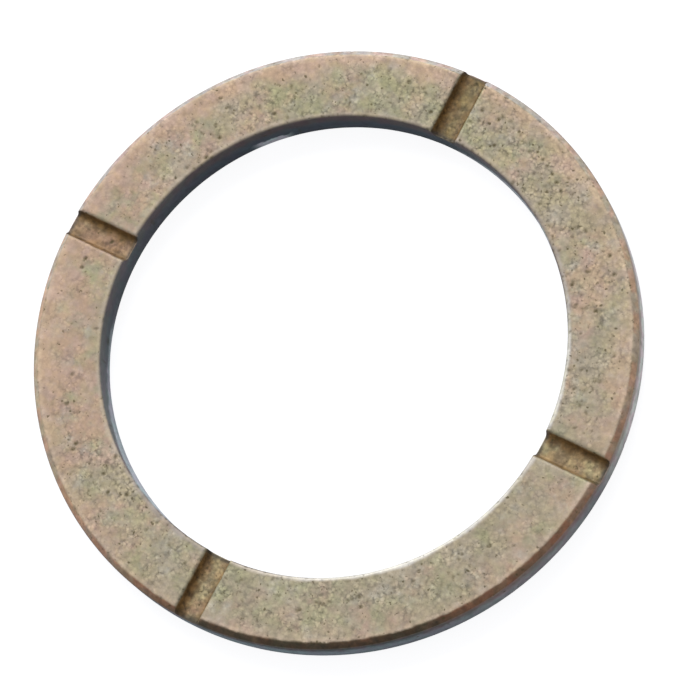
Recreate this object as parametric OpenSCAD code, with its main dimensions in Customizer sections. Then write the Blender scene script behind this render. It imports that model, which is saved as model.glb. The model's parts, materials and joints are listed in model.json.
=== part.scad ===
// Thrust ring of porous sintered bronze: a flat ring with four radial oil grooves in its
// thrust face. Its frame has its origin at the centre of the bore on the back face, with +Z
// along the bore towards the grooved face, and a groove on each of +X, +Y, -X and -Y.
// All lengths are in millimetres and all angles in degrees.

/* [Ring] */
// Outside diameter of the ring
outer_d = 65; // [60:0.5:100]
// Diameter of the bore
bore_d = 50; // [20:0.5:55]
// Thickness from the back face to the grooved face
thickness = 4; // [2:0.1:8]

/* [Edges] */
// Leg of the 45 degree chamfer round the outside of each face
rim_chamfer = 0.6; // [0.2:0.05:0.9]
// Leg of the 45 degree edge break at each end of the bore
bore_break = 0.2; // [0.05:0.05:0.5]

/* [Oil grooves] */
// Number of radial grooves, evenly spaced
groove_count = 4; // [1:1:8]
// Width of a groove where it opens in the grooved face
groove_w = 3; // [2.5:0.1:6]
// Depth of a groove below the grooved face
groove_depth = 1; // [0.4:0.05:1.3]
// Lean of each groove wall away from upright
groove_draft = 20; // [5:1:25]
// Radius of the corners between a groove's floor and its walls
groove_fillet = 0.35; // [0.1:0.05:0.4]

/* [Hidden] */

// Segments round the ring and in each small fillet
$fn = 256;
fillet_steps = 6;

outer_r = outer_d / 2;
bore_r = bore_d / 2;
groove_pitch = 360 / groove_count;

// How far a cutter runs past the surface that it opens through
clear_cut = 1;

// Where the groove's wall would meet its floor without a fillet, and the fillet's centre
groove_floor_half_w = groove_w / 2 - groove_depth * tan(groove_draft);
fillet_inset = groove_fillet * (1 - sin(groove_draft)) / cos(groove_draft);
fillet_x = groove_floor_half_w - fillet_inset;

// Half width of the cutter where it ends above the grooved face
cutter_half_w = groove_w / 2 + clear_cut * tan(groove_draft);

// Section through one side of the ring, with x as the distance from the axis
module ring_section() {
    polygon([
        [bore_r + bore_break, 0],
        [outer_r - rim_chamfer, 0],
        [outer_r, rim_chamfer],
        [outer_r, thickness - rim_chamfer],
        [outer_r - rim_chamfer, thickness],
        [bore_r + bore_break, thickness],
        [bore_r, thickness - bore_break],
        [bore_r, bore_break]
    ]);
}

// One floor corner of the groove, from the floor round to the sloping wall
function floor_corner() = [
    for (i = [0 : fillet_steps])
        let (turn = -90 + (90 - groove_draft) * i / fillet_steps)
        [fillet_x + groove_fillet * cos(turn), groove_fillet * (1 + sin(turn))]
];

// The same corner on the other side of the groove, in the order that closes the outline
function mirrored(points) = [
    for (i = [len(points) - 1 : -1 : 0])
        [-points[i][0], points[i][1]]
];

// Section of the groove's cutter, with its floor at y = 0 and its open side up
module groove_section() {
    right_side = concat(floor_corner(), [[cutter_half_w, groove_depth + clear_cut]]);
    polygon(concat(right_side, mirrored(right_side)));
}

// One groove, cut from inside the bore to past the rim along +X
module groove_cutter() {
    translate([0, 0, thickness - groove_depth])
        rotate([90, 0, 90])
            linear_extrude(height = outer_r + clear_cut)
                groove_section();
}

module thrust_ring() {
    color([0.68, 0.61, 0.52])
        difference() {
            rotate_extrude()
                ring_section();
            for (i = [0 : groove_count - 1])
                rotate([0, 0, i * groove_pitch])
                    groove_cutter();
        }
}

thrust_ring();
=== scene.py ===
"""Thrust ring of porous sintered bronze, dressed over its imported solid.

The ring is one dense mesh, laid out as a grid that runs round the axis and round the section. Its
columns follow the sides of the oil grooves and its rows follow the edges, so the grooves, the
chamfer and the edge breaks are real faces. Coarse pores, nicks and the grain of the sinter are
pressed into that mesh, and the finer ones are in its material.
"""

import json
import math
from types import SimpleNamespace

import bpy
import numpy as np
from mathutils import Euler, Matrix, Vector, kdtree, noise


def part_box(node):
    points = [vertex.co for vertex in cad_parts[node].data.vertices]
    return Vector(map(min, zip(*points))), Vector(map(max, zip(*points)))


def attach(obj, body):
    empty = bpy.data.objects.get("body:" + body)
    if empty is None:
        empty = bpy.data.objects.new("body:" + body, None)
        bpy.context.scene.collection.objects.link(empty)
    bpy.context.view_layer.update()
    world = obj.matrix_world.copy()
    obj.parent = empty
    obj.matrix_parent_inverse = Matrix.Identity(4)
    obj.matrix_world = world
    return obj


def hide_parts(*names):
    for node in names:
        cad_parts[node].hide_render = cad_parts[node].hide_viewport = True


bl_info = {
    "name": "Porous Bronze Thrust Ring",
    "version": (1, 0, 0),
    "blender": (4, 5, 0),
    "location": "3D View > Sidebar > Thrust Ring",
    "description": "Builds a grooved thrust ring of porous sintered bronze on a pale table",
    "category": "Object",
}

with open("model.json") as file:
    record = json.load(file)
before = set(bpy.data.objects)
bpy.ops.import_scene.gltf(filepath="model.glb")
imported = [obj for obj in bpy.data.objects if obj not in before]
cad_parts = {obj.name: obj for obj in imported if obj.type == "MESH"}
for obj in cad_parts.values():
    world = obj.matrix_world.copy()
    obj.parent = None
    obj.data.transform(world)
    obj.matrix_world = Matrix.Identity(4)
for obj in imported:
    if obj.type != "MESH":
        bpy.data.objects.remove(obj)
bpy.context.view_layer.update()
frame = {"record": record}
RING_LOW, RING_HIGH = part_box("thrust_ring")
MOUNTS = {mount["name"]: mount for mount in frame["record"]["mounts"]}

MM = 0.001
PER_MM = 1000.0


def length(name, default, description):
    """A length property in metres, shown to a hundredth of a millimetre."""
    return bpy.props.FloatProperty(
        name=name, description=description, default=default, min=0.0, unit="LENGTH", precision=5
    )


def angle(name, degrees, description):
    """An angle property."""
    return bpy.props.FloatProperty(
        name=name, description=description, default=math.radians(degrees), unit="ROTATION"
    )


def number(name, default, description):
    """A plain number property."""
    return bpy.props.FloatProperty(name=name, description=description, default=default)


def count(name, default, description):
    """A property for a whole number."""
    return bpy.props.IntProperty(name=name, description=description, default=default, min=0)


def colour(name, default, description):
    """A colour property, in linear values."""
    return bpy.props.FloatVectorProperty(
        name=name, description=description, default=default, size=3, subtype="COLOR", min=0, max=1
    )


class RingShape(bpy.types.PropertyGroup):
    """Sizes of the ring, the same as those of its solid."""

    outer_d: length("Outside Diameter", RING_HIGH[0] - RING_LOW[0], "Diameter of the rim")
    bore_d: length(
        "Bore Diameter", 2 * MOUNTS["bore"]["dims"]["r_mm"] * MM, "Diameter of the bore"
    )
    thickness: length(
        "Thickness", RING_HIGH[2] - RING_LOW[2], "Height from the back face to the grooved face"
    )
    rim_chamfer: length("Rim Chamfer", 0.0006, "Leg of the chamfers round the outside")
    bore_break: length("Bore Edge Break", 0.0002, "Leg of the edge breaks at the bore's ends")
    groove_w: length("Groove Width", 0.003, "Width of a groove at the grooved face")
    groove_depth: length("Groove Depth", 0.001, "Depth of a groove below the grooved face")
    groove_draft: angle("Groove Wall Lean", 20, "Lean of a groove's walls away from upright")
    groove_fillet: length("Groove Fillet", 0.00035, "Radius of the corners at a groove's floor")
    groove_count: count("Grooves", 4, "Number of evenly spaced oil grooves")


class RingWear(bpy.types.PropertyGroup):
    """How porous and how worn the sinter is."""

    pit_count: count("Coarse Pores", 420, "Coarse pores pressed into the mesh")
    nick_count: count("Edge Nicks", 110, "Small nicks along the edges")
    face_grain: length("Face Grain", 0.000016, "Depth of the grain on the flat faces")
    wall_grain: length("Wall Grain", 0.00001, "Depth of the grain on the sized walls")
    groove_grain: length("Groove Grain", 0.00006, "Depth of the grain in the grooves")
    seed: count("Seed", 7, "Seed of the pores")


class RingFinish(bpy.types.PropertyGroup):
    """Colours of the sinter and of its sized walls, and how they take the light."""

    bronze: colour("Bronze", (0.285, 0.241, 0.176), "Grooved face")
    bronze_rosy: colour("Rosy Bronze", (0.338, 0.236, 0.184), "Rosy patches of the face")
    bronze_olive: colour("Olive Bronze", (0.259, 0.245, 0.157), "Olive patches of the face")
    bronze_ashy: colour("Ashy Bronze", (0.302, 0.280, 0.236), "Greyer patches of the face")
    margin: colour("Margin", (0.362, 0.252, 0.192), "Smoother outer margin of the face")
    brim: colour("Brim", (0.350, 0.292, 0.232), "Inner edge of the grooved face")
    brim_dull: colour("Dull Brim", (0.252, 0.215, 0.195), "Inner edge on the worn side")
    # Painted highlight: the inner edge where it faces the key light
    edge_highlight: colour("Burnished Edge", (0.500, 0.480, 0.445), "Bright side of the inner edge")
    rubbed: colour("Rubbed Edge", (0.400, 0.305, 0.235), "Bright line beside the chamfer")
    pore: colour("Pore", (0.072, 0.056, 0.022), "Inside of a pore")
    groove: colour("Groove", (0.256, 0.184, 0.101), "Grooves, darkened by oil")
    groove_olive: colour("Olive Groove", (0.266, 0.222, 0.128), "Olive patches of the grooves")
    groove_rosy: colour("Rosy Groove", (0.282, 0.172, 0.115), "Rosy patches of the grooves")
    stain: colour("Stain", (0.128, 0.090, 0.036), "Grooves that hold more oil")
    # Painted shade: a groove's wall that faces away from the key light and the floor beside it,
    # and the other wall less
    groove_shade: colour("Crevice", (0.140, 0.079, 0.028), "Grime along a groove's wall")
    mouth: colour("Mouth", (0.062, 0.055, 0.050), "Grime where a groove ends")
    chamfer: colour("Chamfer", (0.396, 0.310, 0.240), "Chamfer where it is clean")
    # Painted highlight: the chamfer on the side that faces the key light
    chamfer_lit: colour("Pale Chamfer", (0.400, 0.344, 0.335), "Rubbed side of the chamfer")
    # These two darken the chamfer on the side that faces away from the key light: oil and painted
    # shade
    chamfer_rust_shade: colour("Rusty Chamfer", (0.230, 0.120, 0.074), "Chamfer beside its oily side")
    chamfer_oil_shade: colour("Oily Chamfer", (0.066, 0.046, 0.026), "Oily side of the chamfer")
    rim: colour("Rim", (0.200, 0.222, 0.240), "Sized wall of the rim")
    rim_foot_oily: colour("Oily Foot", (0.235, 0.290, 0.310), "Foot of the rim's oily side")
    rim_brown: colour("Brown Rim", (0.255, 0.143, 0.120), "Top of the rim's wall")
    # Oil and painted shade at the top of the rim on the side away from the key light
    rim_oil_shade: colour("Oily Rim", (0.062, 0.056, 0.054), "Top of the rim's oily side")
    rim_worn: colour("Worn Rim", (0.412, 0.325, 0.262), "Rim where its slate skin is worn off")
    rim_foot: colour("Worn Foot", (0.790, 0.745, 0.690), "Foot of the worn side of the rim")
    # Darker than the rim's slate: part of this darkness is painted shade inside the bore
    bore: colour("Bore", (0.056, 0.072, 0.090), "Sized wall of the bore")
    bore_brown: colour("Brown Bore", (0.094, 0.070, 0.066), "Top of the bore's wall")
    bore_pale: colour("Pale Bore", (0.185, 0.190, 0.185), "Smoother side of the bore's wall")
    bore_rubbed: colour("Rubbed Bore", (0.490, 0.530, 0.550), "Rubbed foot of the bore's wall")
    scuff: colour("Scuff", (0.560, 0.600, 0.610), "Scuff at the foot of the bore's wall")
    metallic: number("Metallic", 0.25, "How much of the sinter looks like bare metal")
    specular: number("Specular", 0.3, "Strength of the highlights")
    relief: number("Relief", 0.3, "Strength of the fine grain's relief")
    relief_depth: length("Relief Depth", 0.00004, "Depth of the fine grain's relief")


class StudioSet(bpy.types.PropertyGroup):
    """Camera, lights and table."""

    focal: number("Focal Length", 236.571, "Focal length in millimetres on a 36 mm sensor")
    aim: bpy.props.FloatVectorProperty(
        name="Aim",
        description="Point of the grooved face that the camera looks at",
        default=(0.002168, 0.000243, 0.004),
        subtype="TRANSLATION",
        unit="LENGTH",
    )
    camera_distance: length("Camera Distance", 0.4794, "From the point that it looks at")
    camera_azimuth: angle("Camera Azimuth", -24.077, "Direction of the camera round the ring")
    camera_elevation: angle("Camera Elevation", 69.536, "Height of the camera over the table")
    camera_roll: angle("Camera Roll", 39.165, "Clockwise turn of the camera about its view")
    key_power: number("Key Power", 80.0, "Power of the key light in watts")
    key_azimuth: angle("Key Azimuth", 134.7, "Direction of the key light round the ring")
    key_elevation: angle("Key Elevation", 38.0, "Height of the key light over the table")
    key_distance: length("Key Distance", 2.5, "From the ring to the key light")
    key_size: length("Key Size", 2.0, "Side of the square key light")
    room_light: number("Room Light", 0.72, "Strength of the light from the room")
    table_glow: number("Table Glow", 0.92, "Brightness of the table where it is in shadow")
    table_radius: length("Table Radius", 3.0, "Radius of the round table")
    table_light: colour("Table Light", (0.953, 0.953, 0.958), "Tint of the table's glow")
    table: colour("Table Colour", (0.20, 0.20, 0.21), "What the table adds where it is lit")
    table_bounce: colour("Table Bounce", (0.45, 0.47, 0.50), "Table as the ring's walls see it")
    room: colour("Room Colour", (0.93, 0.95, 0.97), "Pale room behind the table")


def in_mm(group):
    """A property group's numbers, with its lengths turned into millimetres."""
    made = SimpleNamespace()
    for name, prop in group.bl_rna.properties.items():
        if prop.type in ("FLOAT", "INT") and not prop.is_array:
            value = getattr(group, name)
            setattr(made, name, value * PER_MM if prop.unit == "LENGTH" else value)
    return made


def ring_size(shape):
    """The ring's sizes in millimetres, with the radii and the angle that follow from them."""
    size = in_mm(shape)
    size.outer = size.outer_d / 2
    size.bore = size.bore_d / 2
    size.face_out = size.outer - size.rim_chamfer
    size.face_in = size.bore + size.bore_break
    size.pitch = 2 * math.pi / size.groove_count
    return size


# Intervals of the mesh along the sides of the ring's section, and across its grooves
FACE_STEPS = 47
CHAMFER_STEPS = 4
BACK_CHAMFER_STEPS = 1
WALL_STEPS = 3
BACK_STEPS = 3
EDGE_STEPS = 1
ROUND_STEPS = 2
BACK_ROUND_STEPS = 1
GROOVE_WALL_STEPS = 5
FILLET_STEPS = 3
GROOVE_FLOOR_STEPS = 15
PAD_STEPS = 288

# Rounding of the edges, in millimetres from a corner to where its curve starts
FACE_ROUND = 0.12
BACK_ROUND = 0.05
LIP_ROUND = 0.20
MOUTH_ROUND = 0.10

# Within this many millimetres a point counts as on a wall or a face, and two sizes as the same
REACH = 0.02
SAME = 0.00001


def rounded(before, corner, after, tangent, steps):
    """Points of a small curve that replaces a corner, from one tangent point to the other."""
    corner = np.array(corner, float)
    ends = []
    for other in (before, after):
        side = np.array(other, float) - corner
        ends.append(corner + side * tangent / np.linalg.norm(side))
    t = np.linspace(0, 1, steps + 1)[:, None]
    return (1 - t) ** 2 * ends[0] + 2 * t * (1 - t) * corner + t**2 * ends[1]


def section_rows(size):
    """Radius and height of each row, from the face's inner edge outwards and round."""
    top = size.thickness
    front = (FACE_ROUND, ROUND_STEPS)
    back = (BACK_ROUND, BACK_ROUND_STEPS)
    corners = [
        (size.face_in, top, *front, FACE_STEPS),
        (size.face_out, top, *front, CHAMFER_STEPS),
        (size.outer, top - size.rim_chamfer, *front, WALL_STEPS),
        (size.outer, size.rim_chamfer, *back, BACK_CHAMFER_STEPS),
        (size.face_out, 0.0, *back, BACK_STEPS),
        (size.face_in, 0.0, *back, EDGE_STEPS),
        (size.bore, size.bore_break, *back, WALL_STEPS),
        (size.bore, top - size.bore_break, *front, EDGE_STEPS),
    ]
    after = corners[1:] + corners[:1]
    before = corners[-1:] + corners[:-1]
    curves = [
        rounded(one[:2], corner[:2], two[:2], corner[2], corner[3])
        for one, corner, two in zip(before, corners, after)
    ]
    rows = []
    for curve, following, corner in zip(curves, curves[1:] + curves[:1], corners):
        steps = corner[4]
        share = np.arange(1, steps)[:, None] / steps
        rows += [curve, curve[-1] + (following[0] - curve[-1]) * share]
    return np.concatenate(rows).T


def groove_columns(size):
    """Offset from a groove's middle, and drop below the face, of each of its columns."""
    half = size.groove_w / 2
    draft = size.groove_draft
    depth = size.groove_depth
    fillet = size.groove_fillet
    floor_half = half - depth * math.tan(draft)
    centre = floor_half - fillet * (1 - math.sin(draft)) / math.cos(draft)
    lip = rounded((half + 1, 0), (half, 0), (floor_half, depth), LIP_ROUND, ROUND_STEPS)
    turns = np.linspace(-draft, -math.pi / 2, FILLET_STEPS + 1)
    arc = np.c_[centre + fillet * np.cos(turns), depth - fillet * (1 + np.sin(turns))]
    share = np.arange(1, GROOVE_WALL_STEPS)[:, None] / GROOVE_WALL_STEPS
    wall = lip[-1] + (arc[0] - lip[-1]) * share
    side = np.concatenate([lip, wall, arc])
    floor = np.linspace(centre, -centre, GROOVE_FLOOR_STEPS + 1)[1:-1]
    middle = np.c_[floor, np.full_like(floor, depth)]
    return np.concatenate([side, middle, side[::-1] * (-1, 1)])[::-1].T


def ring_grid(size):
    """Radius, angle, height, groove drop and groove offset of the mesh, by row and column."""
    row_r, row_z = section_rows(size)
    offsets, drops = groove_columns(size)
    r = row_r[:, None]
    start = np.arcsin(offsets[-1] / r)
    share = np.arange(1, PAD_STEPS)[None, :] / PAD_STEPS
    pads = start + (size.pitch - 2 * start) * share
    sector = np.concatenate([np.arcsin(offsets[None, :] / r), pads], axis=1)
    turn = np.concatenate([sector + i * size.pitch for i in range(size.groove_count)], axis=1)
    drop = np.concatenate([drops, np.zeros(PAD_STEPS - 1)])
    drop = np.tile(drop, size.groove_count)[None, :]
    across = np.concatenate([offsets, np.full(PAD_STEPS - 1, size.groove_w)])
    across = np.tile(across, size.groove_count)[None, :]

    # The rows above this height are a height field, which the grooves cut into
    rim_top = size.thickness - size.rim_chamfer - FACE_ROUND
    reach = np.clip(np.minimum(size.outer - r, r - size.bore), 0, MOUTH_ROUND)
    mouth = MOUTH_ROUND - np.sqrt(MOUTH_ROUND**2 - (MOUTH_ROUND - reach) ** 2)
    cut = size.thickness - drop - np.where(drop > 0, mouth, 0)
    z = np.repeat(row_z[:, None], drop.shape[1], axis=1)
    is_top = row_z >= rim_top - REACH
    z[is_top] = np.minimum(z[is_top], cut[is_top])

    # The walls' rows share out the height that a groove leaves
    for wall_r, edge in ((size.outer, size.rim_chamfer), (size.bore, size.bore_break)):
        low = edge + BACK_ROUND
        high = size.thickness - edge - FACE_ROUND
        on_wall = np.abs(row_r - wall_r) < SAME
        inner = on_wall & ~is_top & (row_z > low + REACH)
        brink = on_wall & is_top
        left = (z[brink].min(axis=0) - low) / (high - low)
        z[inner] = low + (row_z[inner, None] - low) * left
    r, drop, across = (np.broadcast_to(field, z.shape) for field in (r, drop, across))
    return r, turn, z, drop, across


def soft_step(low, high, value):
    """Goes smoothly from 0 at low to 1 at high."""
    t = np.clip((value - low) / (high - low), 0, 1)
    return t * t * (3 - 2 * t)


# Noise patterns of the mesh: waves per millimetre, and shift
FRAY = (0.9, 53.0)
FINE_FRAY = (2.2, 59.0)
WAVER = (0.3, 11.0)
FINE_WAVER = (0.9, 17.0)
FINE_GRAIN = (2.6, 3.0)
COARSE_GRAIN = (1.1, 29.0)
CLUSTER = (0.45, 71.0)


def noise_at(points, per_mm, shift):
    """Smooth noise from -1 to 1 at each of the points."""
    scaled = points * per_mm + shift
    return np.fromiter((noise.noise(p) for p in scaled), float, len(scaled))


def lobe(turn, middle, width):
    """1 at an angle round the ring, falling to 0 at its width to either side, in degrees."""
    away = np.abs((np.degrees(turn) - middle + 180) % 360 - 180)
    return 1 - soft_step(0, width, away)


def in_sectors(turn, sectors):
    """From 0 to 1 at each angle round the ring, as the strongest of some sectors has it."""
    parts = [strength * lobe(turn, middle, width) for middle, width, strength in sectors]
    return np.clip(np.maximum.reduce(parts), 0, 1)


def surface_normals(grid):
    """Unit normals of a grid of points that is closed both ways."""
    out = np.roll(grid, -1, axis=0) - np.roll(grid, 1, axis=0)
    along = np.roll(grid, -1, axis=1) - np.roll(grid, 1, axis=1)
    normal = np.cross(out, along)
    return normal / np.linalg.norm(normal, axis=2, keepdims=True)


# Sectors of the ring: middle and half width in degrees, and strength
WORN = ((35, 50, 2.0), (343, 35, 0.3))
# Sectors where the bore's inner edge faces the key light, and a highlight is painted on it
KEY_FACING_EDGE = ((320, 55, 1.5), (14, 38, 1.2))
SECTORS = {
    "smooth": ((197, 60, 1.2), (350, 25, 1.0)),
    "rough": ((77, 35, 1.3), (238, 24, 1.0), (290, 35, 0.4), (38, 18, 0.6)),
    "rosy": ((190, 75, 1.0), (20, 25, 0.3)),
    "olive": ((285, 55, 0.8), (102, 45, 1.0)),
    # The side that faces away from the key light: oil and painted shade
    "oily": ((295, 52, 1.5), (308, 105, 0.7)),
    "stained": ((90, 25, 1.0), (180, 25, 0.3), (270, 25, 0.1)),
    # Centred near the key light's direction: a painted highlight on the chamfer, a slight painted
    # shade on the face, and a real salmon tint on the margin
    "pale": ((125, 90, 1.8),),
    "worn": WORN,
    "edge_highlight": KEY_FACING_EDGE,
    "dull": (*WORN, (257, 30, 1.5)),
    "faded": ((218, 35, 1.0), (68, 28, 0.6)),
    "scuffed": ((135, 6, 2.5),),
    "polished": ((247, 60, 1.0), (55, 38, 1.0)),
}

# Where the bore's edge break faces the key light and keeps the face's colour with its painted
# highlight; elsewhere the bore wall's dark colour spreads over the break as painted shade
LIT_BREAK = (*KEY_FACING_EDGE, (266, 18, 0.8))

# Other marks that the mesh carries for the material: below is the depth under the face in
# millimetres, pit goes past 1 in the large pores, and the rest are from 0 to 1
MARKS = (
    "pit", "wall", "groove", "chamfer", "margin", "groove_shade", "in_bore", "below", "rubbed",
    "brim", "mouth",
)

# How far, in millimetres, the rim's slate skin fades out over the chamfer
SKIN_FADE = 0.09

# Between which distances, in millimetres, each of the other marks fades
GROOVE_FADE = (0.01, 0.35)
LEE_FADE = (-0.1, 1.1)
FAR_FADE = (0.4, 1.1)
MOUTH_FADE = (0.05, 0.55)
CHAMFER_FADE = (-0.02, 0.05)
MARGIN_FADE = (0.2, 2.8)
BRIM_FADE = (0.05, 0.5)
RUBBED_FADE = (0.1, 0.45)

# How far below the face, in millimetres, the brim and the rubbed line still reach
BRIM_DROP = 0.03
RUBBED_DROP = 0.1

# Distance in millimetres of the rubbed line from the chamfer
RUBBED_INSET = 0.15

# Direction, in degrees, of the key light round the ring. The wall of each groove on that side
# faces away from the light, and most painted shade lies along it
SHADED_SIDE = 135

# The largest pores of the face and the grooves, given one by one: distance from the axis in
# millimetres and angle round it in degrees
LARGE_PORES = (
    (28.0, 32), (26.0, 39), (30.5, 39), (30.5, 43), (27.0, 78), (29.5, 81), (29.5, 85),
    (27.0, 95), (29.5, 102), (26.5, 132), (30.5, 142), (26.5, 146), (25.5, 151), (27.5, 180),
    (28.5, 181), (29.0, 186), (29.0, 188), (29.0, 227), (29.5, 228), (27.5, 236), (28.0, 240),
    (26.5, 243), (28.5, 292), (28.5, 305), (26.5, 319), (28.0, 335),
)
LARGE_RADIUS = 0.28

# A row of pores, like a scratch, between two such places
ROW_ENDS = ((29.4, 70), (28.8, 60))
ROW_PORES = 6
ROW_RADIUS = 0.22

# Depth, stretch, direction of the long side, and darkness of the large pores
LARGE_DEPTH = 0.05
LARGE_STRETCH = 1.2
LARGE_LEAN = Vector((0.6, 0.8, 0.0))
LARGE_DARKNESS = 1.6

# Smallest and largest radius, and depth, of the other pores and of the nicks, in millimetres
PIT_RADII = (0.13, 0.30)
PIT_DEPTHS = (0.012, 0.05)
NICK_RADII = (0.10, 0.22)
NICK_DEPTHS = (0.015, 0.05)

# How readily coarse pores form, on a scale of its own: at least so much on the open face, and
# in a groove, on the back and on a wall
FACE_CHANCE = 0.15
GROOVE_CHANCE = 0.25
BACK_CHANCE = 4.0
WALL_CHANCE = 0.3

# Power of the curve from a hollow's edge to its depth: 1 is a round bowl, and more is narrower
BOWL = 1.5


class Pits:
    """Small hollows pressed into a set of points, with how deep in one each point is."""

    def __init__(self, points, normals):
        self.points = points
        self.normals = normals
        self.depth = np.zeros(len(points))
        self.mark = np.zeros(len(points))
        self.tree = kdtree.KDTree(len(points))
        for i, point in enumerate(points):
            self.tree.insert(point, i)
        self.tree.balance()

    def press(self, centre, radius, depth, stretch, lean, darkness=1.0):
        """One oval hollow. Its long side is stretch times its radius and lies along lean."""
        found = [i for _, i, _ in self.tree.find_range(centre, radius * stretch)]
        if not found:
            return
        away = self.points[found] - centre
        along = away @ lean
        square = (away**2).sum(axis=1) - along**2 + (along / stretch) ** 2
        share = np.clip(1 - square / radius**2, 0, 1)
        self.depth[found] = np.maximum(self.depth[found], depth * share**BOWL)
        self.mark[found] = np.maximum(self.mark[found], darkness * share)

    def scatter(self, rng, chance, how_many, radii, depths):
        """Random hollows, at points picked by chance."""
        picked = rng.choice(len(self.points), how_many, p=chance / chance.sum())
        for i in picked:
            size = rng.random() ** 2
            lean = np.cross(self.normals[i], rng.normal(size=3))
            self.press(
                Vector(self.points[i]),
                radii[0] + (radii[1] - radii[0]) * size,
                depths[0] + (depths[1] - depths[0]) * size,
                1 + rng.random(),
                lean / np.linalg.norm(lean),
            )


def ring_points(size):
    """Each point of the mesh: its place, its normal, and its place on the ring by name."""
    radius, turn, z, drop, across = ring_grid(size)
    grid = np.stack([radius * np.cos(turn), radius * np.sin(turn), z], axis=2)
    at = SimpleNamespace(shape=z.shape)
    at.points = grid.reshape(-1, 3)
    at.normals = surface_normals(grid).reshape(-1, 3)
    at.radius, at.turn, at.z, at.drop, at.across = (
        field.ravel() for field in (radius, turn, z, drop, across)
    )
    flat = (at.radius > size.face_in) & (at.radius < size.face_out)
    at.on_face = flat & (at.z > size.thickness - REACH)
    at.on_back = flat & (at.z < REACH)
    return at


def groove_marks(size, at, mark):
    """Painted shade along the wall of each groove that faces away from the key light and over the
    floor beside it, less along the other wall, and darker at both mouths.
    """
    upper = at.z > size.thickness - size.groove_depth - REACH
    mark.groove = np.where(upper, soft_step(*GROOVE_FADE, at.drop), 0)
    # Painted shade lies along the wall that faces away from the key light, reaching over the
    # floor, and less along the other wall
    along = np.round(at.turn / size.pitch) * size.pitch
    lee = at.across * np.sign(np.cos(along + math.pi / 2 - math.radians(SHADED_SIDE)))
    fray = 0.5 * noise_at(at.points, *FRAY) + 0.3 * noise_at(at.points, *FINE_FRAY)
    shaded_wall = soft_step(*LEE_FADE, lee + fray)
    shaded_wall = np.maximum(shaded_wall, 0.6 * soft_step(*FAR_FADE, 0.6 * fray - lee))
    mark.groove_shade = mark.groove * shaded_wall
    inside = np.minimum(size.outer - at.radius, at.radius - size.bore)
    mark.mouth = mark.groove * (1 - soft_step(*MOUTH_FADE, inside + 0.4 * fray))

    # The chamfer's darkening, oil and painted shade, creeps onto the face where it is oily
    creep = 0.35 * mark.oily * np.clip(0.4 + 1.5 * fray, 0, 1)
    low, high = (size.face_out + fade for fade in CHAMFER_FADE)
    mark.chamfer = soft_step(low - creep, high, at.radius) * (1 - mark.wall)


def ring_marks(size, at):
    """Where the ring is worn, oily, grimy or on a wall: a value at each point, by name."""
    mark = SimpleNamespace(
        **{name: in_sectors(at.turn, sectors) for name, sectors in SECTORS.items()}
    )
    clean = in_sectors(at.turn, LIT_BREAK)
    # The bore wall's dark colour covers the break where it doesn't face the key light: painted
    # shade
    shaded_break = size.bore_break * (1 - clean) * (at.drop == 0)
    mark.wall = np.maximum(
        1 - soft_step(0, SKIN_FADE, size.outer - at.radius),
        1 - soft_step(0, REACH + shaded_break, at.radius - size.bore),
    )
    mark.in_bore = (at.radius < (size.outer + size.bore) / 2).astype(float)
    mark.below = size.thickness - at.z
    groove_marks(size, at, mark)

    # The face closes and grows paler towards its outer margin, and has a bright inner brim
    waver = noise_at(at.points, *WAVER) + 0.5 * noise_at(at.points, *FINE_WAVER)
    to_edge = size.face_out - at.radius
    margin = 1 - soft_step(*MARGIN_FADE, to_edge + 1.3 * waver)
    mark.margin = np.where(at.on_face, margin, 0)
    brim = 1 - soft_step(*BRIM_FADE, at.radius - size.face_in + 0.15 * waver)
    on_top = (at.z > size.thickness - size.bore_break - REACH) & (at.drop < BRIM_DROP)
    mark.brim = np.where(on_top, brim, 0)
    rubbed = 1 - soft_step(*RUBBED_FADE, np.abs(to_edge - RUBBED_INSET + 0.1 * waver))
    on_top = at.z > size.thickness - RUBBED_DROP
    mark.rubbed = np.where(on_top, rubbed, 0) * (1 - mark.groove)
    return mark


def grain_depth(wear, at, mark):
    """Depth of the grain: flat tops, as a die leaves them, with shallow hollows between."""
    fine = noise_at(at.points, *FINE_GRAIN)
    coarse = noise_at(at.points, *COARSE_GRAIN)
    grain = wear.face_grain * np.clip(fine + 0.5 * coarse, 0, 1) * (1 - 0.6 * mark.margin)
    grain = np.where(mark.wall > 0.5, wear.wall_grain * np.clip(coarse, 0, 1), grain)
    rugged = np.clip(0.5 + 0.5 * fine + 0.5 * coarse, 0, 1.5)
    return grain + mark.groove * (1 - mark.wall) * wear.groove_grain * rugged


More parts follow.
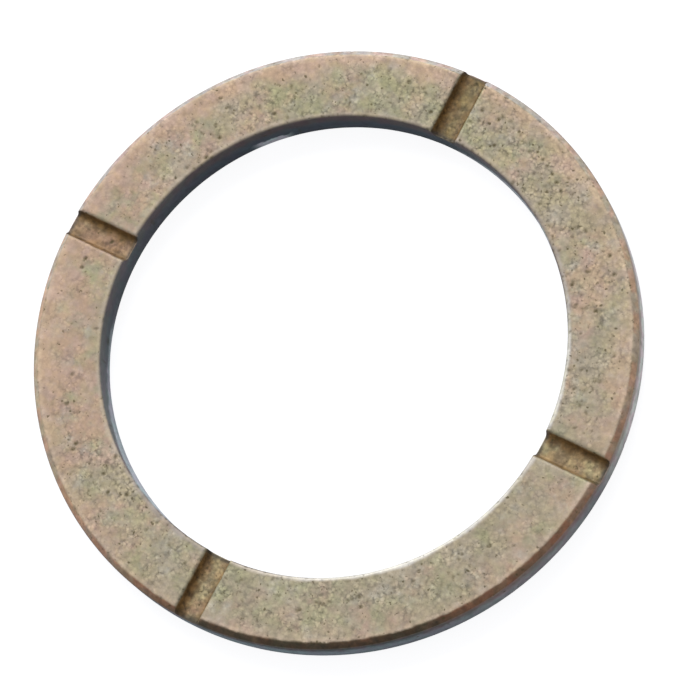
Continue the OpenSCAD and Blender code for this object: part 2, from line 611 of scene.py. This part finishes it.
def ring_pits(size, wear, at, mark):
    """The coarse pores and the nicks, at random, and then the largest pores at their places."""
    pits = Pits(at.points, at.normals)
    rng = np.random.default_rng(wear.seed)
    cluster = soft_step(0.0, 0.35, noise_at(at.points, *CLUSTER))
    chance = at.on_face * (1 - 0.85 * mark.margin) * (FACE_CHANCE + cluster)
    chance *= 1 - 0.7 * mark.smooth + 1.2 * mark.rough
    chance += GROOVE_CHANCE * mark.groove * (1 - mark.wall)
    chance += BACK_CHANCE * at.on_back + WALL_CHANCE * mark.wall
    pits.scatter(rng, chance, wear.pit_count, PIT_RADII, PIT_DEPTHS)
    at_rim = np.abs(at.radius - size.face_out) < FACE_ROUND
    at_bore = np.abs(at.radius - size.face_in) < FACE_ROUND
    at_edge = (at_rim | at_bore) & (at.z > size.thickness - FACE_ROUND)
    at_lip = (at.drop > 0) & (at.drop < LIP_ROUND) & at.on_face
    chance = 1.0 * at_edge + 1.0 * at_lip
    pits.scatter(rng, chance, wear.nick_count, NICK_RADII, NICK_DEPTHS)
    large = [(*place, LARGE_RADIUS) for place in LARGE_PORES]
    large += [(*place, ROW_RADIUS) for place in np.linspace(*ROW_ENDS, ROW_PORES)]
    for from_axis, where, wide in large:
        spot = Vector((from_axis, 0, size.thickness))
        spot.rotate(Euler((0, 0, math.radians(where))))
        nearest = pits.tree.find(spot)[0]
        pits.press(nearest, wide, LARGE_DEPTH, LARGE_STRETCH, LARGE_LEAN, LARGE_DARKNESS)
    return pits


def ring_mesh(size, wear):
    """The ring's mesh, with its pores pressed in and its marks kept as point attributes."""
    at = ring_points(size)
    mark = ring_marks(size, at)
    pits = ring_pits(size, wear, at, mark)
    mark.pit = pits.mark
    sunk = grain_depth(wear, at, mark) + pits.depth
    points = at.points - at.normals * sunk[:, None]

    here = np.arange(len(points)).reshape(at.shape)
    below = np.roll(here, -1, axis=0)
    corners = [here, below, np.roll(below, -1, axis=1), np.roll(here, -1, axis=1)]
    faces = np.stack(corners, axis=2).reshape(-1, 4)
    mesh = bpy.data.meshes.new("bronze_ring")
    mesh.from_pydata((points * MM).tolist(), [], faces.tolist())
    mesh.shade_smooth()
    for name in (*SECTORS, *MARKS):
        values = getattr(mark, name)
        mesh.attributes.new(name, "FLOAT", "POINT").data.foreach_set("value", values)
    mesh.validate()
    return mesh


class Signal:
    """An output of a node. Arithmetic on one that holds a number adds Math nodes."""

    def __init__(self, socket):
        self.socket = socket

    def out(self, name):
        """Another output of the same node."""
        return Signal(self.socket.node.outputs[name])

    def _math(self, operation, *terms):
        """A Math node on numbers and other outputs."""
        node = self.socket.id_data.nodes.new("ShaderNodeMath")
        node.operation = operation
        plug(node, dict(enumerate(terms)))
        return Signal(node.outputs[0])

    def __add__(self, other):
        return self._math("ADD", self, other)

    def __radd__(self, other):
        return self._math("ADD", other, self)

    def __sub__(self, other):
        return self._math("SUBTRACT", self, other)

    def __rsub__(self, other):
        return self._math("SUBTRACT", other, self)

    def __mul__(self, other):
        return self._math("MULTIPLY", self, other)

    def __rmul__(self, other):
        return self._math("MULTIPLY", other, self)

    def __lt__(self, other):
        return self._math("LESS_THAN", self, other)

    def or_else(self, other):
        """The larger of the two."""
        return self._math("MAXIMUM", self, other)


def plug(node, sockets):
    """Gives a node's inputs their values, or links them."""
    for key, value in sockets.items():
        if isinstance(value, Signal):
            node.id_data.links.new(value.socket, node.inputs[key])
        else:
            node.inputs[key].default_value = value


# Places of a colour Mix node's sockets
MIX_FACTOR, MIX_A, MIX_B, MIX_RESULT = 0, 6, 7, 2


def opaque(tint):
    """A colour with full alpha. The output of a node stays as it is."""
    return tint if isinstance(tint, Signal) else (*tint, 1.0)


class Graph:
    """The node tree of a new material or of the world."""

    def __init__(self, owner):
        owner.use_nodes = True
        self.tree = owner.node_tree
        self.tree.nodes.clear()

    def node(self, kind, settings=None, sockets=None, output=0):
        """Adds a node of a type, with its settings and then its sockets' values or links."""
        made = self.tree.nodes.new(kind)
        for name, value in (settings or {}).items():
            setattr(made, name, value)
        plug(made, sockets or {})
        return Signal(made.outputs[output]) if made.outputs else made

    def attribute(self, name):
        """A point attribute of the mesh, as a number."""
        return self.node("ShaderNodeAttribute", {"attribute_name": name}).out("Fac")

    def mix(self, factor, one, two, blend="MIX"):
        """A colour between two others."""
        settings = {"data_type": "RGBA", "blend_type": blend, "clamp_factor": True}
        sockets = {MIX_FACTOR: factor, MIX_A: opaque(one), MIX_B: opaque(two)}
        return self.node("ShaderNodeMix", settings, sockets, MIX_RESULT)

    def tinted(self, base, tint, factor=1.0):
        """A colour multiplied by another."""
        return self.mix(factor, base, tint, "MULTIPLY")

    def layered(self, base, *layers):
        """A colour under layers of others, each given as its factor and its colour."""
        for factor, tint in layers:
            base = self.mix(factor, base, tint)
        return base

    def step(self, low, high, value, low_to=0.0, high_to=1.0):
        """Goes smoothly from low_to at low to high_to at high."""
        settings = {"interpolation_type": "SMOOTHSTEP"}
        sockets = {
            "Value": value,
            "From Min": low,
            "From Max": high,
            "To Min": low_to,
            "To Max": high_to,
        }
        return self.node("ShaderNodeMapRange", settings, sockets)

    def noise(self, point, per_mm, detail, roughness):
        """Smooth noise around 0.5."""
        sockets = {"Vector": point, "Scale": per_mm, "Detail": detail, "Roughness": roughness}
        return self.node("ShaderNodeTexNoise", None, sockets)

    def shifted(self, point, shift):
        """The point moved, for a pattern of its own."""
        return self.node("ShaderNodeVectorMath", {"operation": "ADD"}, {0: point, 1: (shift,) * 3})

    def pores(self, point, per_mm, radius, share):
        """Round pores: 1 inside, in that share of the cells, with up to that radius in cells."""
        cell = self.node("ShaderNodeTexVoronoi", None, {"Vector": point, "Scale": per_mm})
        luck = self.node("ShaderNodeSeparateColor", None, {0: cell.out("Color")})
        reach = radius * (0.35 + 0.65 * luck.out("Red")) * (luck.out("Green") < share)
        return self.step(0.35 * reach, reach + 0.001, cell.out("Distance"), 1.0, 0.0)


# Colours of the finish that lie in patches: their noise pattern, and the values of it between
# which they fade in
PATCHES = {
    "bronze_rosy": ("rosy", 0.42, 0.72),
    "bronze_olive": ("olive", 0.45, 0.75),
    "bronze_ashy": ("ashy", 0.5, 0.8),
    "groove_olive": ("olive", 0.42, 0.62),
    "groove_rosy": ("rosy", 0.48, 0.68),
}

# Noise patterns of the bronze: shift in millimetres, waves per millimetre, detail, roughness
PATTERNS = {
    "warp": (0.0, 1.8, 3.0, 0.6),
    "grain": (0.0, 1.3, 3.0, 0.62),
    "rosy": (3.0, 0.2, 4.0, 0.55),
    "breakup": (5.0, 3.0, 2.0, 0.5),
    "olive": (13.0, 0.3, 4.0, 0.6),
    "tone": (17.0, 0.5, 2.0, 0.5),
    "cluster": (31.0, 0.45, 3.0, 0.6),
    "ashy": (37.0, 0.4, 4.0, 0.6),
    "blotch": (43.0, 0.8, 3.0, 0.6),
    "broad": (57.0, 0.45, 2.0, 0.7),
    "mottle": (61.0, 1.1, 3.0, 0.6),
    "smear": (67.0, 0.7, 3.0, 0.6),
    "flicker": (83.0, 2.2, 1.0, 0.5),
    "ochre": (91.0, 0.7, 3.0, 0.6),
}

# Round pores of the bronze: shift, cells per millimetre, largest radius in cells, and share
HOLES = (7.0, 1.5, 0.35, 0.60)
SPECKS = (23.0, 2.7, 0.42, 0.48)

# Grains of the sinter: cells per millimetre, and how far noise bends them, in millimetres
GRAINS_PER_MM = 2.4
GRAIN_WARP = 0.6

# Depths below the grooved face, in millimetres, between which a wall's top, its worn foot and its
# scuff set in, and how far noise shifts them
TOP_BAND = (2.3, 0.7)
WORN_BAND = (0.9, 2.3)
SCUFF_BAND = (2.4, 2.9)
BAND_SHIFT = 1.6

# Tints that colours are multiplied by
WARM = (1.14, 0.97, 0.90)
COOL = (0.94, 1.02, 1.02)
ROSE = (1.0, 0.89, 0.97)
TEAL = (0.91, 1.0, 0.98)
OCHRE = (1.01, 1.0, 0.88)


class BronzeGraph(Graph):
    """The bronze's node tree, with the mesh's marks and the noise patterns by name."""

    def __init__(self, owner):
        super().__init__(owner)
        place = self.node("ShaderNodeTexCoord").out("Object")
        self.point = self.node(
            "ShaderNodeVectorMath", {"operation": "SCALE"}, {0: place, "Scale": PER_MM}
        )
        self.on = SimpleNamespace(**{name: self.attribute(name) for name in (*SECTORS, *MARKS)})
        self.pattern = SimpleNamespace(
            **{
                name: self.noise(self.shifted(self.point, shift), *kind)
                for name, (shift, *kind) in PATTERNS.items()
            }
        )
        # The rosy and olive sectors strengthen their patches, and the oily one smears its oil,
        # which also holds painted shade on the side away from the key light
        self.pattern.rosy = self.pattern.rosy + 0.15 * self.on.rosy
        self.pattern.olive = self.pattern.olive + 0.12 * self.on.olive
        self.oil = self.on.oily * (0.55 + 0.9 * self.pattern.smear)

    def patches(self, finish, *names):
        """Layers of patches, each with a colour of the finish and where its noise brings it in."""
        for name in names:
            pattern, low, high = PATCHES[name]
            yield self.step(low, high, getattr(self.pattern, pattern)), getattr(finish, name)


def sinter_grains(graph):
    """Grains with dark gaps, more open in clusters, closed on the margin and the walls."""
    on, pattern = graph.on, graph.pattern
    warp = {0: pattern.warp.out("Color"), 1: (GRAIN_WARP,) * 3, 2: graph.point}
    bent = graph.node("ShaderNodeVectorMath", {"operation": "MULTIPLY_ADD"}, warp)
    cell = graph.node("ShaderNodeTexVoronoi", None, {"Vector": bent, "Scale": GRAINS_PER_MM})
    luck = graph.node("ShaderNodeSeparateColor", None, {0: cell.out("Color")})
    openness = graph.step(0.36, 0.64, pattern.cluster, 0.25, 1.0)
    openness = openness * (1 - 0.45 * on.margin) * (1 - 0.40 * on.smooth) + 0.25 * on.rough
    openness = (openness + 0.1 * on.groove) * (1 - 0.85 * on.wall) * (1 - 0.6 * on.chamfer)
    openness = openness * (1 - 0.8 * on.brim)
    holes, specks = (
        graph.pores(graph.shifted(bent, shift), per_mm, radius, share * openness)
        for shift, per_mm, radius, share in (HOLES, SPECKS)
    )
    pit = on.pit * graph.step(0.3, 0.6, pattern.breakup, 0.4, 1.0)
    return SimpleNamespace(
        openness=openness,
        bead=graph.step(0.85, 0.15, cell.out("Distance")),
        luck=luck.out("Red"),
        pore=holes.or_else(0.7 * specks).or_else(0.8 * pit),
    )


def face_colour(graph, finish):
    """Tan with rosy, olive and ashy patches, then the face's outer margin and inner brim, with a
    painted highlight on the brim's edge where it faces the key light.
    """
    on = graph.on
    return graph.layered(
        finish.bronze,
        *graph.patches(finish, "bronze_rosy", "bronze_olive", "bronze_ashy"),
        (on.margin * (0.2 + 0.75 * on.pale.or_else(on.rosy)), finish.margin),
        (0.8 * on.brim, graph.mix(on.dull, finish.brim, finish.brim_dull)),
        # Painted highlight on the inner edge where it faces the key light
        (on.edge_highlight * on.brim * on.brim, finish.edge_highlight),
        (0.5 * on.rubbed, finish.rubbed),
    )


def chamfer_colour(graph, finish):
    """Clean, or painted lighter as a highlight on the side that faces the key light, then rusty
    and black with oil and painted shade on the side that faces away from it.
    """
    bevel = graph.layered(
        finish.chamfer,
        # Painted highlight on the side that faces the key light
        (graph.on.pale, finish.chamfer_lit),
        # Rusty and then black: oil and painted shade on the side away from the key light
        (2 * graph.oil, finish.chamfer_rust_shade),
        (2 * graph.oil - 1, finish.chamfer_oil_shade),
    )
    return graph.tinted(bevel, graph.mix(graph.step(0.4, 0.6, graph.pattern.tone), WARM, COOL))


def groove_colour(graph, finish):
    """Oil-darkened bronze in patches, with painted shade along the walls and darker at the mouths.
    """
    on = graph.on
    return graph.layered(
        finish.groove,
        *graph.patches(finish, "groove_olive", "groove_rosy"),
        (0.7 * on.stained, finish.stain),
        # Painted shade along the groove's walls
        (on.groove_shade, finish.groove_shade),
        (0.8 * on.mouth, finish.mouth),
    )


def rim_colour(graph, finish, low, high):
    """Slate, brown at its top or dark there with oil and painted shade on the side away from the
    key light, and worn to the bronze on one side.
    """
    on = graph.on
    # Oil and painted shade on the side away from the key light
    top = graph.mix(graph.oil, finish.rim_brown, finish.rim_oil_shade)
    foot = on.worn * graph.step(*WORN_BAND, low)
    bare = graph.mix(foot, finish.rim_worn, finish.rim_foot)
    return graph.layered(
        finish.rim, (on.olive, finish.rim_foot_oily), (high, top), (on.worn, bare)
    )


def bore_colour(graph, finish, low, high):
    """Dark slate whose darkness is partly painted shade, brown at its top, with smoother pale
    stretches, rubbed feet and a scuff.
    """
    on = graph.on
    # The more the bore is polished, the higher its rubbed foot reaches up the wall
    brink = 3.3 - 0.7 * on.polished - 2.5 * on.polished * on.polished
    foot = graph.step(brink - 0.5, brink + 0.5, low) * graph.step(0.0, 0.15, on.polished)
    return graph.layered(
        # The bore's dark slate holds painted shade
        finish.bore,
        (high, finish.bore_brown),
        ((0.4 * on.smooth).or_else(0.7 * on.faded), finish.bore_pale),
        (foot, finish.bore_rubbed),
        (on.scuffed * graph.step(*SCUFF_BAND, low), finish.scuff),
    )


def wall_colour(graph, finish):
    """The sized walls, whose colours change at a depth below the face that wavers with noise."""
    low = graph.on.below + BAND_SHIFT * (graph.pattern.blotch - 0.5)
    high = graph.step(*TOP_BAND, low)
    rim = rim_colour(graph, finish, low, high)
    bore = bore_colour(graph, finish, low, high)
    sheen = graph.mix(graph.step(0.4, 0.6, graph.pattern.smear), ROSE, TEAL)
    return graph.tinted(graph.mix(graph.on.in_bore, rim, bore), sheen)


def sinter_shade(graph, grains):
    """How light the bronze is against its plain colour: its mottles, its grains and its oil, with
    painted shade down the chamfer on the side away from the key light and a slight painted shade
    on the side that faces it.
    """
    on, pattern = graph.on, graph.pattern
    shade = 1 + graph.step(0.2, 0.8, pattern.grain, -0.21, 0.21) * (1 - 0.25 * on.smooth)
    shade = shade * graph.step(0.2, 0.8, pattern.broad, 0.89, 1.11)
    mottle = graph.step(0.3, 0.7, pattern.mottle, -0.3, 0.3)
    shade = shade * (1 + (on.groove + 0.5 * on.chamfer) * mottle)
    gap = (grains.bead - 0.6) * graph.step(0.3, 0.7, pattern.flicker, 0.1, 0.9)
    shade = shade * (1 + grains.openness * (0.95 * gap + 0.10 * grains.luck - 0.05))
    # Painted shade: darker down the chamfer on the oily side, away from the key light, and a
    # little darker on the side that faces the light
    shade = shade * (1 - 0.6 * on.chamfer * on.oily * on.below) * (1 - 0.04 * on.pale)
    return graph.node("ShaderNodeCombineColor", None, {0: shade, 1: shade, 2: shade})


def bronze_material(finish):
    """Porous sintered bronze with oily grooves and slate-grey sized walls, with shade and
    highlights painted where the key light falls or misses.
    """
    material = bpy.data.materials.new("sintered_bronze")
    graph = BronzeGraph(material)
    on = graph.on
    grains = sinter_grains(graph)
    grain = graph.pattern.grain
    skin = graph.layered(
        face_colour(graph, finish),
        (on.chamfer, chamfer_colour(graph, finish)),
        (on.groove, groove_colour(graph, finish)),
        (on.wall, wall_colour(graph, finish)),
    )
    skin = graph.tinted(skin, sinter_shade(graph, grains))
    ochre = graph.step(0.38, 0.62, graph.pattern.ochre) * (1 - on.wall) * (1 - 0.5 * on.oily)
    skin = graph.mix(0.78 * grains.pore, graph.tinted(skin, OCHRE, ochre), finish.pore)
    roughness = 0.56 + 0.2 * grains.pore + 0.2 * (grain - 0.5) - 0.12 * on.wall
    relief = 0.4 * grain + 0.5 * grains.openness * grains.bead - 1.0 * grains.pore
    bump = graph.node(
        "ShaderNodeBump",
        None,
        {"Strength": finish.relief, "Distance": finish.relief_depth, "Height": relief},
    )
    shader = graph.node(
        "ShaderNodeBsdfPrincipled",
        None,
        {
            "Base Color": skin,
            "Roughness": roughness - 0.05 * on.margin,
            "Normal": bump,
            "Metallic": finish.metallic,
            "Specular IOR Level": finish.specular,
        },
    )
    graph.node("ShaderNodeOutputMaterial", None, {"Surface": shader})
    return material


class THRUST_OT_ring(bpy.types.Operator):
    """Builds the ring over its solid"""

    bl_idname = "thrust.ring"
    bl_label = "Bronze Ring"

    def execute(self, context):
        scene = context.scene
        mesh = ring_mesh(ring_size(scene.ring_shape), in_mm(scene.ring_wear))
        mesh.materials.append(bronze_material(scene.ring_finish))
        ring = bpy.data.objects.new("bronze_ring", mesh)
        scene.collection.objects.link(ring)
        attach(ring, "root")
        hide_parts("thrust_ring")
        return {"FINISHED"}


def direction(azimuth, elevation):
    """Unit vector that points out at an azimuth round the axis and a height over the table."""
    level = math.cos(elevation)
    return Vector((math.cos(azimuth) * level, math.sin(azimuth) * level, math.sin(elevation)))


def looking(place, target, roll=0.0):
    """Matrix of a camera or light at a place that faces a target, turned clockwise by roll."""
    turn = (target - place).to_track_quat("-Z", "Y").to_matrix().to_4x4()
    return Matrix.Translation(place) @ turn @ Matrix.Rotation(-roll, 4, "Z")


# Sides of the round table, and how far it lies under the ring's back face in metres, so that
# the two don't share a plane
TABLE_SIDES = 96
TABLE_GAP = 0.00001

# Width in millimetres of the camera's sensor, which the focal length is given for
SENSOR = 36.0


def table_mesh(radius):
    """A flat round sheet at the height of the ring's back face."""
    turns = np.arange(TABLE_SIDES) * 2 * math.pi / TABLE_SIDES
    rim = np.c_[radius * np.cos(turns), radius * np.sin(turns), np.zeros(TABLE_SIDES)]
    mesh = bpy.data.meshes.new("pale_table")
    mesh.from_pydata(rim.tolist(), [], [list(range(TABLE_SIDES))])
    return mesh


def table_material(studio):
    """Plain pale sheet that shows shadows faintly, and is greyer to the light that it returns."""
    material = bpy.data.materials.new("pale_table")
    graph = Graph(material)
    shown = graph.node(
        "ShaderNodeBsdfPrincipled",
        None,
        {
            "Base Color": opaque(studio.table),
            "Roughness": 0.9,
            "Specular IOR Level": 0.0,
            "Emission Color": opaque(studio.table_light),
            "Emission Strength": studio.table_glow,
        },
    )
    returned = graph.node("ShaderNodeBsdfDiffuse", None, {"Color": opaque(studio.table_bounce)})
    seen = graph.node("ShaderNodeLightPath").out("Is Camera Ray")
    shader = graph.node("ShaderNodeMixShader", None, {0: seen, 1: returned, 2: shown})
    graph.node("ShaderNodeOutputMaterial", None, {"Surface": shader})
    return material


class THRUST_OT_stage(bpy.types.Operator):
    """Builds the table, the lights and the camera"""

    bl_idname = "thrust.stage"
    bl_label = "Stage"

    def execute(self, context):
        scene = context.scene
        studio = scene.ring_studio
        scene.view_settings.view_transform = "Standard"

        mesh = table_mesh(studio.table_radius)
        mesh.materials.append(table_material(studio))
        table = bpy.data.objects.new("pale_table", mesh)
        table.location.z = -TABLE_GAP
        scene.collection.objects.link(table)

        world = bpy.data.worlds.new("pale_room")
        scene.world = world
        graph = Graph(world)
        seen = graph.node("ShaderNodeLightPath").out("Is Camera Ray")
        strength = studio.room_light + (1 - studio.room_light) * seen
        sky = graph.node(
            "ShaderNodeBackground", None, {"Color": opaque(studio.room), "Strength": strength}
        )
        graph.node("ShaderNodeOutputWorld", None, {"Surface": sky})

        lamp = bpy.data.lights.new("key", "AREA")
        lamp.energy = studio.key_power
        lamp.size = studio.key_size
        key = bpy.data.objects.new("key", lamp)
        place = direction(studio.key_azimuth, studio.key_elevation) * studio.key_distance
        key.matrix_world = looking(place, Vector())
        scene.collection.objects.link(key)

        lens = bpy.data.cameras.new("camera")
        lens.lens = studio.focal
        lens.sensor_width = SENSOR
        camera = bpy.data.objects.new("camera", lens)
        aim = Vector(studio.aim)
        towards = direction(studio.camera_azimuth, studio.camera_elevation)
        eye = aim + towards * studio.camera_distance
        camera.matrix_world = looking(eye, aim, studio.camera_roll)
        scene.collection.objects.link(camera)
        scene.camera = camera
        return {"FINISHED"}


class THRUST_PT_panel(bpy.types.Panel):
    """Sizes, wear, colours and stage of the ring, with the buttons that build them"""

    bl_idname = "THRUST_PT_panel"
    bl_label = "Thrust Ring"
    bl_space_type = "VIEW_3D"
    bl_region_type = "UI"
    bl_category = "Thrust Ring"

    def draw(self, context):
        for name, group in GROUPS.items():
            box = self.layout.box()
            for prop in group.__annotations__:
                box.prop(getattr(context.scene, name), prop)
        for operator in OPERATORS:
            self.layout.operator(operator.bl_idname)


GROUPS = {
    "ring_shape": RingShape,
    "ring_wear": RingWear,
    "ring_finish": RingFinish,
    "ring_studio": StudioSet,
}
OPERATORS = (THRUST_OT_ring, THRUST_OT_stage)
CLASSES = (*GROUPS.values(), *OPERATORS, THRUST_PT_panel)


def register():
    """Adds the classes and the scene's settings."""
    for cls in CLASSES:
        bpy.utils.register_class(cls)
    for name, group in GROUPS.items():
        setattr(bpy.types.Scene, name, bpy.props.PointerProperty(type=group))


def unregister():
    """Takes them away again."""
    for name in GROUPS:
        delattr(bpy.types.Scene, name)
    for cls in reversed(CLASSES):
        bpy.utils.unregister_class(cls)


def main():
    """Builds the scene."""
    register()
    bpy.ops.thrust.ring()
    bpy.ops.thrust.stage()


if __name__ == "__main__":
    main()
